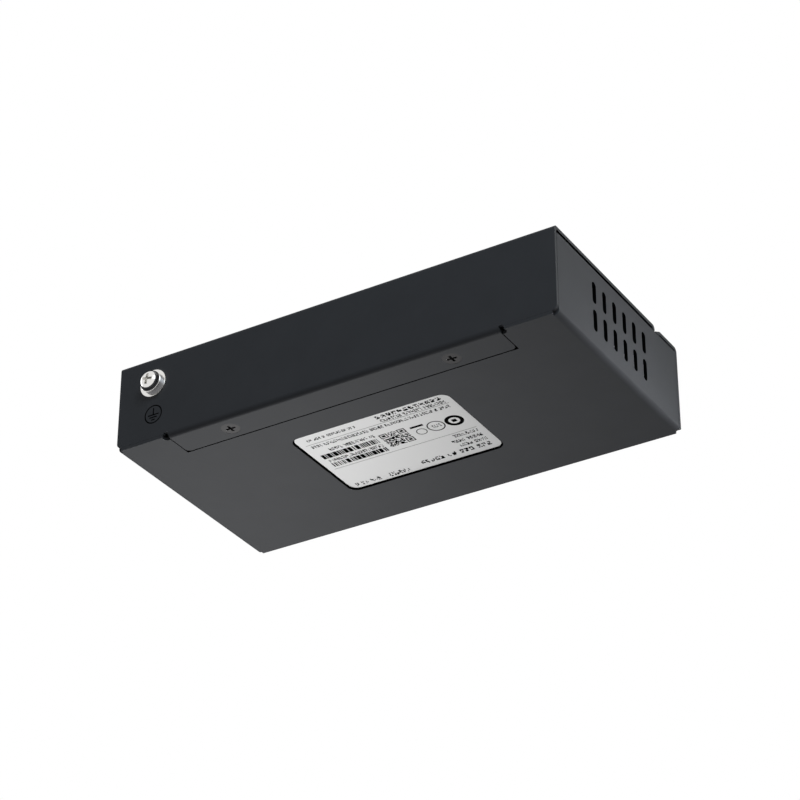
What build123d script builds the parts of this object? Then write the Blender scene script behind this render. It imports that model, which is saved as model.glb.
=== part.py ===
"""Eight-port desktop network switch in a folded sheet-steel case.

The case is two folded sheets: a tray with the port wall, the end walls and a short front
flange, and a cover with the top, the rear wall and a tab that folds under the tray. The
frame has X along the ports, +Y towards the rear wall and +Z up, with the origin under the
middle of the whole object, on the surface that it stands on. Sizes are in millimetres.
"""

import os

from build123d import *

# Case
case_w = 140.0
case_d = 72.0
case_h = 27.5
sheet_t = 1.0
seam = 0.15
crisp_r = 0.3
end_bend_r = 1.5
front_bend_r = 1.5
cover_bend_r = 1.2
tab_bend_r = 1.5
under_gap = 0.05

# Front flange of the tray and the groove where the cover meets it
groove_in = 13.6
flange_drop = 0.2
ramp_run = 3.0
ramp_drop = 1.5
cover_lip_h = 4.0
lip_side_gap = 0.3
lip_over_gap = 0.25

# End walls and their vents
end_wall_top = 25.6
vent_w = 2.2
vent_l = 6.7
vent_pitch = 5.83
vent_columns = 6
vent_rows = 2
vent_row_pitch = 8.75
vent_mid_z = 13.65
vent_mid_back = 36.35

# Fold-under tab of the cover and the ledge that it lies under
tab_w = 105.3
tab_d = 10.0
tab_gap = 0.3
tab_front_gap = 0.45
tab_corner_r = 1.5
relief_w = 1.3
notch_r = 1.25
notch_in = 0.8
cover_screw_spacing = 70.6
cover_screw_back = 5.7
collar_h = 1.0
collar_r = 2.7

# Label and its pressed recess
label_w = 49.6
label_d = 32.8
label_t = 0.12
label_r = 2.4
label_margin = 0.5
recess_depth = 0.6
recess_wall = 0.9
label_x = 0.2
label_from_rear = 36.7

# M3 screws, countersunk in the cover and pan-headed on the board
m3_r = 1.42
m3_clear_r = 1.75
m3_head_r = 2.7
m3_flush = 0.05
cover_screw_l = 4.0
thread_gap = 0.05
cover_cross_w = 3.0
cover_cross_arm = 0.7
cover_cross_d = 0.8

# Ground terminal, M4
ground_x = 58.0
ground_z = 18.5
m4_r = 1.95
flat_washer_r = 4.25
flat_washer_t = 0.8
spring_washer_r = 3.2
spring_washer_t = 0.9
spring_slit = 0.7
spring_slit_turn = 20
washer_hole_r = 2.2
m4_head_r = 3.3
m4_head_h = 2.2
m4_head_curve = [(3.3, 0.5), (2.9, 1.45), (2.0, 2.05), (1.0, 2.2)]
ground_cross_w = 3.6
ground_cross_arm = 0.9
ground_cross_d = 1.4
m4_tip = 3.2
nut_r = 4.0
nut_t = 2.0
nut_shank_r = 2.75

# Circuit board and what holds it
board_t = 1.6
board_z = 5.0
board_side_gap = 2.0
board_front_gap = 0.3
board_rear_gap = 1.5
standoff_r = 2.75
board_screw_head_r = 2.8
board_screw_head_h = 2.0
board_screw_l = 5.0
hole_side_in = 5.0
hole_front_in = 21.7
hole_rear_in = 5.0

# Eight jacks, in two blocks of four
ports_per_block = 4
port_pitch = 14.0
block_end_wall = 1.0
jack_h = 13.2
jack_d = 16.0
jack_proud = 0.4
shield_t = 0.3
window_gap = 0.3
block_gap = 2.0
blocks_left_gap = 2.5
port_w = 11.8
port_floor = 2.4
port_h = 7.0
latch_w = 6.4
latch_h = 1.5
latch_slot_w = 4.0
latch_slot_h = 1.2
port_depth = 12.6

# Contact wires of the jacks
wires_per_port = 8
wire_pitch = 1.02
wire_w = 0.45
wire_t = 0.3
wire_bed = 1.1
wire_bed_margin = 0.3
wire_front = 1.8
wire_back = 8.2
wire_rise = 2.2
wire_foot = 11.0

# Power jack
power_x = 60.2
power_body_w = 9.0
power_body_h = 11.0
power_body_d = 14.0
power_flange_d = 3.4
power_bore_r = 3.2
power_bore_d = 10.0
power_bore_up = 6.5
power_barrel_r = 4.3
power_pin_r = 1.0
power_pin_back = 0.8
power_wall_gap = 0.1
power_hole_r = 4.4
blade_w = 3.0
blade_t = 0.4
blade_gap = 0.1
blade_below = 1.4
leaf_l = 5.0
leaf_up = 0.3

# Indicator lamps and their light guide
guide_tip = 1.8
guide_arm = 2.2
guide_hole_gap = 0.1
guide_proud = 0.2
guide_bar_in = 6.0
guide_back = 1.5
lamp_w = 1.6
lamp_d = 0.8
lamp_h = 0.7
lamp_gap = 0.2

# Parts on the board behind the jacks
transformer_w = 23.0
transformer_d = 13.0
transformer_h = 5.8
transformer_gap = 1.8
transformer_pitch = 25.0
transformer_leads = 4
transformer_lead_pitch = 5.0
chip_w = 14.0
chip_h = 1.4
chip_x = -8.0
chip_behind = 17.0
pad_t = 0.5
sink_w = 28.0
sink_base_t = 2.0
sink_h = 10.0
sink_fins = 7
sink_fin_t = 1.0
can_r = 3.15
can_h = 7.7
can_base_w = 6.6
can_base_h = 1.2
inductor_w = 7.0
inductor_h = 4.0
inductor_corner = 1.0
lead_t = 0.25
lead_l = 1.0
lead_w = 0.4
lead_pitch = 1.27
small_chip_w = 5.0
small_chip_d = 3.9
small_chip_h = 1.7
small_chip_leads = 4
flash_x = -32.0
flash_behind = 8.0
crystal_w = 11.4
crystal_d = 4.7
crystal_h = 3.5
crystal_r = 2.2
crystal_ahead = 4.0
can_places = [(56.0, 0.0), (56.0, 9.0), (24.0, 22.0)]
inductor_places = [(45.0, 1.0), (45.0, 13.0)]
regulator_places = [(35.0, 1.0), (35.0, 13.0)]
diode_place = (52.0, -8.0)
diode_w = 4.6
diode_d = 3.6
diode_h = 2.3
diode_edge = 0.4
fuse_place = (52.0, -14.0)
fuse_w = 7.3
fuse_d = 5.0
fuse_h = 1.5
chip_cap_l = 1.6
chip_cap_w = 0.8
chip_cap_behind = 1.5
chip_cap_aside = 2.0
cap_row = 10
cap_row_pitch = 8.0
cap_column = 5
cap_column_pitch = 5.0

# Places that follow from the sizes above
ground_reach = flat_washer_t + spring_washer_t + m4_head_h
overall_d = case_d + jack_proud + ground_reach
rear_y = overall_d / 2 - ground_reach
front_y = rear_y - case_d
side_x = case_w / 2
wall_in_x = side_x - sheet_t
wall_in_front_y = front_y + sheet_t
wall_in_rear_y = rear_y - sheet_t
side_front_y = wall_in_front_y + seam
side_rear_y = wall_in_rear_y - seam
lip_cut_w = sheet_t + lip_side_gap
lip_cut_top = end_wall_top + lip_over_gap
groove_y = front_y + groove_in
flange_z = case_h - flange_drop
lip_y = groove_y - seam
lip_z = flange_z - ramp_drop
ramp_y = lip_y - ramp_run
tab_front_y = rear_y - tab_d
pocket_front_y = tab_front_y - tab_front_gap
notch_x = (tab_w + relief_w) / 2
ledge_z = sheet_t + under_gap
ledge_top = ledge_z + sheet_t
ledge_rear_y = rear_y - tab_bend_r - tab_gap
outer_w = side_x - tab_w / 2 - relief_w
cover_screw_y = rear_y - cover_screw_back
cover_screw_xs = (-cover_screw_spacing / 2, cover_screw_spacing / 2)
label_y = rear_y - label_from_rear
recess_w = label_w + 2 * label_margin
recess_d = label_d + 2 * label_margin
recess_r = label_r + label_margin
m3_thread_r = m3_r + thread_gap
spring_y = rear_y + flat_washer_t
head_y = spring_y + spring_washer_t
nut_y = wall_in_rear_y - nut_t
board_top = board_z + board_t
board_w = 2 * (wall_in_x - board_side_gap)
board_front_y = wall_in_front_y + board_front_gap
board_rear_y = wall_in_rear_y - board_rear_gap
hole_x = board_w / 2 - hole_side_in
hole_ys = (board_front_y + hole_front_in, board_rear_y - hole_rear_in)
board_holes = [(x, y) for x in (-hole_x, hole_x) for y in hole_ys]
block_w = ports_per_block * port_pitch + 2 * block_end_wall
shield_w = block_w + 2 * shield_t
shield_top = board_top + jack_h + shield_t
jack_face_y = front_y - jack_proud
jack_back_y = jack_face_y + jack_d
housing_y = jack_face_y + shield_t
left_block_x = -wall_in_x + blocks_left_gap + shield_w / 2
right_block_x = left_block_x + shield_w + block_gap
port_floor_z = board_top + port_floor
port_offsets = [(i - (ports_per_block - 1) / 2) * port_pitch for i in range(ports_per_block)]
wire_bed_z = port_floor_z - wire_bed
wire_foot_y = housing_y + wire_foot
wire_bed_w = wires_per_port * wire_pitch + wire_bed_margin
wire_offsets = [(i - (wires_per_port - 1) / 2) * wire_pitch for i in range(wires_per_port)]
power_bore_z = board_top + power_bore_up
power_face_y = wall_in_front_y + power_wall_gap
power_back_y = power_face_y + power_body_d
power_mid_y = power_face_y + power_body_d / 2
leaf_z = power_bore_z - power_bore_r
guide_z = shield_top + guide_arm / 2
guide_tip_y = front_y - guide_proud
guide_leg_y = jack_back_y + guide_back
guide_bar_y = wall_in_front_y + guide_bar_in
guide_xs = [x + dx for x in (left_block_x, right_block_x) for dx in port_offsets] + [power_x]
transformer_y = guide_leg_y + guide_arm / 2 + transformer_gap + transformer_d / 2
transformer_mid_x = (left_block_x + right_block_x) / 2
transformer_xs = [transformer_mid_x + s * transformer_pitch for s in (-1.5, -0.5, 0.5, 1.5)]
cap_row_y = transformer_y + transformer_d / 2 + chip_cap_behind
chip_y = transformer_y + transformer_d / 2 + chip_behind
pad_z = board_top + chip_h
sink_z = pad_z + pad_t


def folded_sheet(planes, points, radii, side, thickness=sheet_t):
    """Return the section of a folded sheet, from its outer line, on each of the planes."""
    with BuildSketch(*planes) as section:
        with BuildLine():
            FilletPolyline(*points, radius=radii)
            offset(amount=thickness, side=side, kind=Kind.INTERSECTION)
        make_face()
    return section.sketch


def block(x_mid, y_mid, z_low, width, depth, height, mode=Mode.ADD):
    """Add or cut a square-edged block that stands on z_low."""
    with Locations((x_mid, y_mid, z_low)):
        Box(width, depth, height, align=(Align.CENTER, Align.CENTER, Align.MIN), mode=mode)


def upright(x, y, z_low, z_high, radius, mode=Mode.ADD):
    """Add or cut a cylinder that stands along Z."""
    with Locations((x, y, z_low)):
        Cylinder(radius, z_high - z_low, align=(Align.CENTER, Align.CENTER, Align.MIN), mode=mode)


def lying(x, z, y_front, y_back, radius, mode=Mode.ADD):
    """Add or cut a cylinder that lies along Y."""
    with Locations(Location((x, y_front, z), (-90, 0, 0))):
        Cylinder(radius, y_back - y_front, align=(Align.CENTER, Align.CENTER, Align.MIN), mode=mode)


def cross_slot(plane, size, width, depth):
    """Cut a cross recess into a screw head, along the normal of the plane of its face."""
    with BuildSketch(plane) as cross:
        Rectangle(size, width)
        Rectangle(width, size)
    extrude(cross.sketch, amount=depth, mode=Mode.SUBTRACT)


def port_mouths(block_x, y_back):
    """Return the outlines of a block's four mouths, each with the two steps for the latch."""
    with BuildSketch(Plane.XZ.offset(-y_back)) as mouths:
        with Locations(*[(block_x + dx, port_floor_z) for dx in port_offsets]):
            Rectangle(port_w, port_h, align=(Align.CENTER, Align.MIN))
            Rectangle(latch_w, port_h + latch_h, align=(Align.CENTER, Align.MIN))
            Rectangle(latch_slot_w, port_h + latch_h + latch_slot_h, align=(Align.CENTER, Align.MIN))
    return mouths.sketch


# Base tray: bottom, end walls, port wall and front flange
with BuildPart() as base_tray:
    extrude(
        folded_sheet(
            [Plane.YZ],
            [(rear_y, 0), (front_y, 0), (front_y, flange_z), (ramp_y, flange_z), (lip_y, lip_z)],
            [0, front_bend_r, front_bend_r],
            Side.RIGHT,
        ),
        amount=side_x,
        both=True,
    )
    # Corner notches leave room for the end bends, and the flange's lip thins over the end walls
    for end in (-1, 1):
        block(
            end * (side_x - end_bend_r / 2), (front_y + rear_y) / 2, 0,
            end_bend_r, case_d, sheet_t, Mode.SUBTRACT,
        )
        block(
            end * (side_x - lip_cut_w / 2), (ramp_y + groove_y) / 2, lip_z - 2 * sheet_t,
            lip_cut_w, groove_y - ramp_y, lip_cut_top - lip_z + 2 * sheet_t, Mode.SUBTRACT,
        )
    extrude(
        folded_sheet(
            [Plane.XZ.offset(-side_rear_y)],
            [(-side_x, end_wall_top), (-side_x, 0), (side_x, 0), (side_x, end_wall_top)],
            [end_bend_r, end_bend_r],
            Side.LEFT,
        ),
        amount=side_rear_y - side_front_y,
    )
    # Vents through both end walls
    with BuildSketch(Plane.YZ):
        with Locations((rear_y - vent_mid_back, vent_mid_z)):
            with GridLocations(vent_pitch, vent_row_pitch, vent_columns, vent_rows):
                SlotOverall(vent_l, vent_w, rotation=90)
    extrude(amount=case_w, both=True, mode=Mode.SUBTRACT)
    # Recess for the label, pressed up into the tray
    with BuildSketch(Plane.XY.offset(sheet_t)):
        with Locations((label_x, label_y)):
            RectangleRounded(recess_w + 2 * recess_wall, recess_d + 2 * recess_wall, recess_r + recess_wall)
    extrude(amount=recess_depth)
    with BuildSketch(Plane.XY):
        with Locations((label_x, label_y)):
            RectangleRounded(recess_w, recess_d, recess_r)
    extrude(amount=recess_depth, mode=Mode.SUBTRACT)
    # Opening for the cover's tab, with the ledge stepped up above it
    block(
        0, (pocket_front_y + rear_y) / 2, 0,
        tab_w + 2 * tab_gap, rear_y - pocket_front_y, sheet_t, Mode.SUBTRACT,
    )
    for end in (-1, 1):
        upright(end * notch_x, rear_y - notch_in, 0, sheet_t, notch_r, Mode.SUBTRACT)
    block(0, pocket_front_y - sheet_t / 2, 0, tab_w, sheet_t, ledge_top)
    block(
        0, (pocket_front_y + ledge_rear_y - sheet_t) / 2, ledge_z,
        tab_w, ledge_rear_y - pocket_front_y + sheet_t, sheet_t,
    )
    for x in cover_screw_xs:
        upright(x, cover_screw_y, ledge_z, ledge_top + collar_h, collar_r)
        upright(x, cover_screw_y, ledge_z, ledge_top + collar_h, m3_thread_r, Mode.SUBTRACT)
    # Windows for the jack blocks, holes for the power plug and the light guide
    with BuildSketch(Plane.XZ.offset(-wall_in_front_y)):
        for x in (left_block_x, right_block_x):
            with Locations((x, board_top + (jack_h + shield_t) / 2)):
                Rectangle(shield_w + 2 * window_gap, jack_h + shield_t + 2 * window_gap)
        with Locations((power_x, power_bore_z)):
            Circle(power_hole_r)
        with Locations(*[(x, guide_z) for x in guide_xs]):
            Rectangle(guide_tip + 2 * guide_hole_gap, guide_tip + 2 * guide_hole_gap)
    extrude(amount=sheet_t, mode=Mode.SUBTRACT)
    fold = base_tray.edges().filter_by(Axis.X).filter_by_position(Axis.Z, -0.01, 0.01)
    fillet(fold.group_by(Axis.Y)[0], crisp_r)
base_tray.part.label = "base_tray"

# Top cover: lip in the groove, top, rear wall and fold-under tab
with BuildPart() as top_cover:
    extrude(
        folded_sheet(
            [Plane.YZ],
            [(groove_y, case_h - cover_lip_h), (groove_y, case_h), (rear_y, case_h), (rear_y, tab_bend_r)],
            [cover_bend_r, cover_bend_r],
            Side.RIGHT,
        ),
        amount=side_x,
        both=True,
    )
    extrude(
        folded_sheet(
            [Plane.YZ],
            [(rear_y, case_h / 2), (rear_y, 0), (tab_front_y, 0)],
            [tab_bend_r],
            Side.RIGHT,
        ),
        amount=tab_w / 2,
        both=True,
    )
    for end in (-1, 1):
        block(
            end * (side_x - outer_w / 2), rear_y - sheet_t / 2, ledge_z,
            outer_w, sheet_t, case_h / 2,
        )
        # The lip goes down between the end walls
        block(
            end * (side_x - lip_cut_w / 2), groove_y + sheet_t / 2, case_h - cover_lip_h,
            lip_cut_w, sheet_t, end_wall_top + lip_side_gap - case_h + cover_lip_h, Mode.SUBTRACT,
        )
    tab_edges = top_cover.edges().filter_by(Axis.Z).filter_by_position(Axis.Z, 0, sheet_t)
    fillet(tab_edges.group_by(Axis.Y)[0], tab_corner_r)
    for x in cover_screw_xs:
        with Locations(Location((x, cover_screw_y, 0), (180, 0, 0))):
            CounterSinkHole(m3_clear_r, m3_head_r + m3_flush, sheet_t)
    corner = top_cover.edges().filter_by(Axis.Y).filter_by_position(Axis.Z, ledge_z - 0.01, ledge_z + 0.01)
    fillet(corner.group_by(Axis.X)[0] + corner.group_by(Axis.X)[-1], end_bend_r)
    lying(ground_x, ground_z, wall_in_rear_y, rear_y, nut_shank_r, Mode.SUBTRACT)
top_cover.part.label = "top_cover"

# Rating label, stuck to the floor of the recess
with BuildPart() as rating_label:
    with BuildSketch(Plane.XY.offset(recess_depth - label_t)):
        with Locations((label_x, label_y)):
            RectangleRounded(label_w, label_d, label_r)
    extrude(amount=label_t)
rating_label.part.label = "rating_label"

# Two countersunk screws that hold the tab to the ledge
with BuildPart() as cover_screws:
    cone_h = sheet_t - m3_flush
    for x in cover_screw_xs:
        with Locations((x, cover_screw_y, m3_flush)):
            Cone(m3_head_r, m3_head_r - cone_h, cone_h, align=(Align.CENTER, Align.CENTER, Align.MIN))
        upright(x, cover_screw_y, sheet_t, cover_screw_l, m3_r)
        cross_slot(Plane((x, cover_screw_y, m3_flush)), cover_cross_w, cover_cross_arm, cover_cross_d)
cover_screws.part.label = "cover_screws"

# Ground terminal: flat washer, split washer, pan-head screw, and the nut pressed in the wall
with BuildPart() as flat_washer:
    lying(ground_x, ground_z, rear_y, spring_y, flat_washer_r)
    lying(ground_x, ground_z, rear_y, spring_y, washer_hole_r, Mode.SUBTRACT)
flat_washer.part.label = "flat_washer"

with BuildPart() as spring_washer:
    lying(ground_x, ground_z, spring_y, head_y, spring_washer_r)
    lying(ground_x, ground_z, spring_y, head_y, washer_hole_r, Mode.SUBTRACT)
    with BuildSketch(Plane.XZ.offset(-head_y)):
        with Locations((ground_x, ground_z + spring_washer_r)):
            Rectangle(spring_slit, 2 * spring_washer_r, rotation=spring_slit_turn)
    extrude(amount=spring_washer_t, mode=Mode.SUBTRACT)
spring_washer.part.label = "spring_washer"

with BuildPart() as ground_screw:
    with BuildSketch(Plane((ground_x, head_y, ground_z))):
        with BuildLine():
            Polyline((0, 0), (m4_head_r, 0), *m4_head_curve, (0, m4_head_h), close=True)
        make_face()
    revolve(axis=Axis((ground_x, head_y, ground_z), (0, 1, 0)))
    lying(ground_x, ground_z, nut_y - m4_tip, head_y, m4_r)
    cross_slot(
        Plane((ground_x, head_y + m4_head_h, ground_z), x_dir=(1, 0, 0), z_dir=(0, -1, 0)),
        ground_cross_w, ground_cross_arm, ground_cross_d,
    )
ground_screw.part.label = "ground_screw"

with BuildPart() as clinch_nut:
    lying(ground_x, ground_z, nut_y, wall_in_rear_y, nut_r)
    lying(ground_x, ground_z, wall_in_rear_y, rear_y, nut_shank_r - under_gap)
    lying(ground_x, ground_z, nut_y, rear_y, m4_r + thread_gap, Mode.SUBTRACT)
clinch_nut.part.label = "clinch_nut"

# Circuit board, its four standoffs and four screws
with BuildPart() as circuit_board:
    block(0, (board_front_y + board_rear_y) / 2, board_z, board_w, board_rear_y - board_front_y, board_t)
    for x, y in board_holes:
        upright(x, y, board_z, board_top, m3_clear_r, Mode.SUBTRACT)
    for y in (power_mid_y, power_back_y + blade_t / 2):
        block(
            power_x, y, board_z,
            blade_w + 2 * blade_gap, blade_t + 2 * blade_gap, board_t, Mode.SUBTRACT,
        )
circuit_board.part.label = "circuit_board"

with BuildPart() as board_standoffs:
    with BuildSketch(Plane.XY.offset(sheet_t)):
        with Locations(*board_holes):
            RegularPolygon(standoff_r, 6)
            Circle(m3_thread_r, mode=Mode.SUBTRACT)
    extrude(amount=board_z - sheet_t)
board_standoffs.part.label = "board_standoffs"

with BuildPart() as board_screws:
    for x, y in board_holes:
        upright(x, y, board_top, board_top + board_screw_head_h, board_screw_head_r)
        upright(x, y, board_top - board_screw_l, board_top, m3_r)
board_screws.part.label = "board_screws"


def jack_housing(block_x):
    """Return the moulded block of four jacks, with its mouths and the beds of its wires."""
    with BuildPart() as housing:
        body_d = jack_d - 2 * shield_t
        block(block_x, housing_y + body_d / 2, board_top, block_w, body_d, jack_h)
        extrude(port_mouths(block_x, housing_y + port_depth), amount=port_depth, mode=Mode.SUBTRACT)
        for dx in port_offsets:
            bed_front = housing_y + wire_front - wire_bed_margin
            bed_back = housing_y + port_depth
            block(
                block_x + dx, (bed_front + bed_back) / 2, wire_bed_z,
                wire_bed_w, bed_back - bed_front, wire_bed, Mode.SUBTRACT,
            )
            block(
                block_x + dx, wire_foot_y + wire_t / 2, board_top,
                wire_bed_w, wire_t + 2 * wire_bed_margin, port_floor - wire_bed, Mode.SUBTRACT,
            )
    return housing.part


def jack_shield(block_x):
    """Return the thin sheet-metal shell round a block of jacks, open below."""
    with BuildPart() as shield:
        mid_y = (jack_face_y + jack_back_y) / 2
        block(block_x, mid_y, board_top, shield_w, jack_d, jack_h + shield_t)
        block(block_x, mid_y, board_top, block_w, jack_d - 2 * shield_t, jack_h, Mode.SUBTRACT)
        extrude(port_mouths(block_x, housing_y), amount=shield_t, mode=Mode.SUBTRACT)
    return shield.part


def jack_contacts(block_x):
    """Return the springy contact wires of a block, each from its foot on the board."""
    line = [
        (wire_foot_y, board_top),
        (wire_foot_y, wire_bed_z),
        (housing_y + wire_front, wire_bed_z),
        (housing_y + wire_back, port_floor_z + wire_rise),
    ]
    xs = [block_x + dx + wx - wire_w / 2 for dx in port_offsets for wx in wire_offsets]
    with BuildPart() as contacts:
        for x in xs:
            extrude(folded_sheet([Plane.YZ.offset(x)], line, [0, 0], Side.RIGHT, wire_t), amount=wire_w)
    return contacts.part


# The two jack blocks: housing, shield and contacts
jack_housing_left = jack_housing(left_block_x)
jack_housing_left.label = "jack_housing_left"
jack_housing_right = jack_housing(right_block_x)
jack_housing_right.label = "jack_housing_right"
jack_shield_left = jack_shield(left_block_x)
jack_shield_left.label = "jack_shield_left"
jack_shield_right = jack_shield(right_block_x)
jack_shield_right.label = "jack_shield_right"
jack_contacts_left = jack_contacts(left_block_x)
jack_contacts_left.label = "jack_contacts_left"
jack_contacts_right = jack_contacts(right_block_x)
jack_contacts_right.label = "jack_contacts_right"

# Power jack: moulded body, centre pin and two blades that go through the board
with BuildPart() as power_jack_body:
    block(
        power_x, power_face_y + power_flange_d / 2, board_top,
        power_body_w, power_flange_d, power_body_h,
    )
    block(power_x, power_mid_y, board_top, power_body_w, power_body_d, power_bore_up)
    lying(power_x, power_bore_z, power_face_y, power_back_y, power_barrel_r)
    lying(power_x, power_bore_z, power_face_y, power_face_y + power_bore_d, power_bore_r, Mode.SUBTRACT)
    lying(power_x, power_bore_z, power_face_y, power_back_y, power_pin_r, Mode.SUBTRACT)
    block(
        power_x, power_mid_y, board_top,
        blade_w + 2 * blade_gap, blade_t + 2 * blade_gap, power_bore_up, Mode.SUBTRACT,
    )
    block(
        power_x, power_mid_y - leaf_l / 2, leaf_z - blade_t,
        blade_w + 2 * blade_gap, leaf_l + blade_t, power_bore_r, Mode.SUBTRACT,
    )
power_jack_body.part.label = "power_jack_body"

with BuildPart() as power_jack_pin:
    lying(power_x, power_bore_z, power_face_y + power_pin_back, power_back_y, power_pin_r)
    chamfer(power_jack_pin.faces().sort_by(Axis.Y)[0].edges(), power_pin_r / 2)
power_jack_pin.part.label = "power_jack_pin"

with BuildPart() as power_jack_terminals:
    blade_z = board_z - blade_below
    block(
        power_x, power_back_y + blade_t / 2, blade_z,
        blade_w, blade_t, power_bore_z + power_pin_r - blade_z,
    )
    block(power_x, power_mid_y, blade_z, blade_w, blade_t, leaf_z + leaf_up - blade_z)
    block(
        power_x, power_mid_y - (leaf_l - blade_t) / 2, leaf_z + leaf_up - blade_t,
        blade_w, leaf_l, blade_t,
    )
power_jack_terminals.part.label = "power_jack_terminals"

# Light guide, with an arm over each lamp, and the lamps
with BuildPart() as light_guide:
    for x in guide_xs:
        arm_y = wall_in_front_y + board_front_gap
        block(
            x, (guide_tip_y + arm_y) / 2, guide_z - guide_tip / 2,
            guide_tip, arm_y - guide_tip_y, guide_tip,
        )
        block(
            x, (arm_y + guide_leg_y + guide_arm / 2) / 2, guide_z - guide_arm / 2,
            guide_arm, guide_leg_y + guide_arm / 2 - arm_y, guide_arm,
        )
        leg_z = board_top + lamp_h + lamp_gap
        block(x, guide_leg_y, leg_z, guide_arm, guide_arm, guide_z - leg_z)
    block(
        (guide_xs[0] + guide_xs[-1]) / 2, guide_bar_y, guide_z - guide_arm / 2,
        guide_xs[-1] - guide_xs[0], guide_arm, guide_arm,
    )
light_guide.part.label = "light_guide"

with BuildPart() as indicator_lamps:
    for x in guide_xs:
        block(x, guide_leg_y, board_top, lamp_w, lamp_d, lamp_h)
indicator_lamps.part.label = "indicator_lamps"


def leaded_chip(x, y, width, depth, height, leads, pitch=lead_pitch):
    """Add a chip body with a row of leads along its front and its back."""
    block(x, y, board_top + lead_t, width, depth, height - lead_t)
    for i in range(leads):
        lead_x = x + (i - (leads - 1) / 2) * pitch
        for end in (-1, 1):
            lead_y = y + end * (depth / 2 + lead_l / 2)
            block(lead_x, lead_y, board_top, lead_w, lead_l + 2 * lead_t, lead_t * 2)


# Parts on the board behind the jacks
with BuildPart() as line_transformers:
    for x in transformer_xs:
        leaded_chip(
            x, transformer_y, transformer_w, transformer_d - 2 * lead_l, transformer_h,
            transformer_leads, transformer_lead_pitch,
        )
line_transformers.part.label = "line_transformers"

with BuildPart() as switch_chip:
    block(chip_x, chip_y, board_top, chip_w, chip_w, chip_h)
    chamfer(switch_chip.faces().sort_by(Axis.Z)[-1].edges(), lead_t)
switch_chip.part.label = "switch_chip"

with BuildPart() as thermal_pad:
    block(chip_x, chip_y, pad_z, chip_w, chip_w, pad_t)
thermal_pad.part.label = "thermal_pad"

with BuildPart() as heat_sink:
    block(chip_x, chip_y, sink_z, sink_w, sink_w, sink_base_t)
    for i in range(sink_fins):
        fin_x = chip_x + (i / (sink_fins - 1) - 0.5) * (sink_w - sink_fin_t)
        block(fin_x, chip_y, sink_z, sink_fin_t, sink_w, sink_h)
heat_sink.part.label = "heat_sink"

with BuildPart() as flash_chip:
    leaded_chip(flash_x, chip_y + flash_behind, small_chip_w, small_chip_d, small_chip_h, small_chip_leads)
flash_chip.part.label = "flash_chip"

with BuildPart() as crystal_can:
    block(flash_x, chip_y - crystal_ahead, board_top, crystal_w, crystal_d, crystal_h)
    fillet(crystal_can.edges().filter_by(Axis.Z), crystal_r)
crystal_can.part.label = "crystal_can"

with BuildPart() as smoothing_capacitors:
    for x, y in can_places:
        block(x, y, board_top, can_base_w, can_base_w, can_base_h)
        upright(x, y, board_top, board_top + can_h, can_r)
smoothing_capacitors.part.label = "smoothing_capacitors"

with BuildPart() as power_inductors:
    for x, y in inductor_places:
        block(x, y, board_top, inductor_w, inductor_w, inductor_h)
    chamfer(power_inductors.edges().filter_by(Axis.Z), inductor_corner)
power_inductors.part.label = "power_inductors"

with BuildPart() as regulator_chips:
    for x, y in regulator_places:
        leaded_chip(x, y, small_chip_w, small_chip_d, small_chip_h, small_chip_leads)
regulator_chips.part.label = "regulator_chips"

with BuildPart() as input_diode:
    block(*diode_place, board_top, diode_w, diode_d, diode_h)
    chamfer(input_diode.faces().sort_by(Axis.Z)[-1].edges(), diode_edge)
input_diode.part.label = "input_diode"

with BuildPart() as fuse:
    block(*fuse_place, board_top, fuse_w, fuse_d, fuse_h)
fuse.part.label = "fuse"

with BuildPart() as chip_capacitors:
    for i in range(cap_row):
        x = transformer_mid_x + (i - (cap_row - 1) / 2) * cap_row_pitch
        block(x, cap_row_y, board_top, chip_cap_l, chip_cap_w, chip_cap_w)
    for i in range(cap_column):
        y = chip_y + (i - (cap_column - 1) / 2) * cap_column_pitch
        for end in (-1, 1):
            x = chip_x + end * (sink_w / 2 + chip_cap_aside)
            block(x, y, board_top, chip_cap_w, chip_cap_l, chip_cap_w)
chip_capacitors.part.label = "chip_capacitors"

os.makedirs("parts", exist_ok=True)
export_step(base_tray.part, "parts/base_tray.step")
export_step(top_cover.part, "parts/top_cover.step")
export_step(rating_label.part, "parts/rating_label.step")
export_step(cover_screws.part, "parts/cover_screws.step")
export_step(flat_washer.part, "parts/flat_washer.step")
export_step(spring_washer.part, "parts/spring_washer.step")
export_step(ground_screw.part, "parts/ground_screw.step")
export_step(clinch_nut.part, "parts/clinch_nut.step")
export_step(circuit_board.part, "parts/circuit_board.step")
export_step(board_standoffs.part, "parts/board_standoffs.step")
export_step(board_screws.part, "parts/board_screws.step")
export_step(jack_housing_left, "parts/jack_housing_left.step")
export_step(jack_housing_right, "parts/jack_housing_right.step")
export_step(jack_shield_left, "parts/jack_shield_left.step")
export_step(jack_shield_right, "parts/jack_shield_right.step")
export_step(jack_contacts_left, "parts/jack_contacts_left.step")
export_step(jack_contacts_right, "parts/jack_contacts_right.step")
export_step(power_jack_body.part, "parts/power_jack_body.step")
export_step(power_jack_pin.part, "parts/power_jack_pin.step")
export_step(power_jack_terminals.part, "parts/power_jack_terminals.step")
export_step(light_guide.part, "parts/light_guide.step")
export_step(indicator_lamps.part, "parts/indicator_lamps.step")
export_step(line_transformers.part, "parts/line_transformers.step")
export_step(switch_chip.part, "parts/switch_chip.step")
export_step(thermal_pad.part, "parts/thermal_pad.step")
export_step(heat_sink.part, "parts/heat_sink.step")
export_step(flash_chip.part, "parts/flash_chip.step")
export_step(crystal_can.part, "parts/crystal_can.step")
export_step(smoothing_capacitors.part, "parts/smoothing_capacitors.step")
export_step(power_inductors.part, "parts/power_inductors.step")
export_step(regulator_chips.part, "parts/regulator_chips.step")
export_step(input_diode.part, "parts/input_diode.step")
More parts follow.
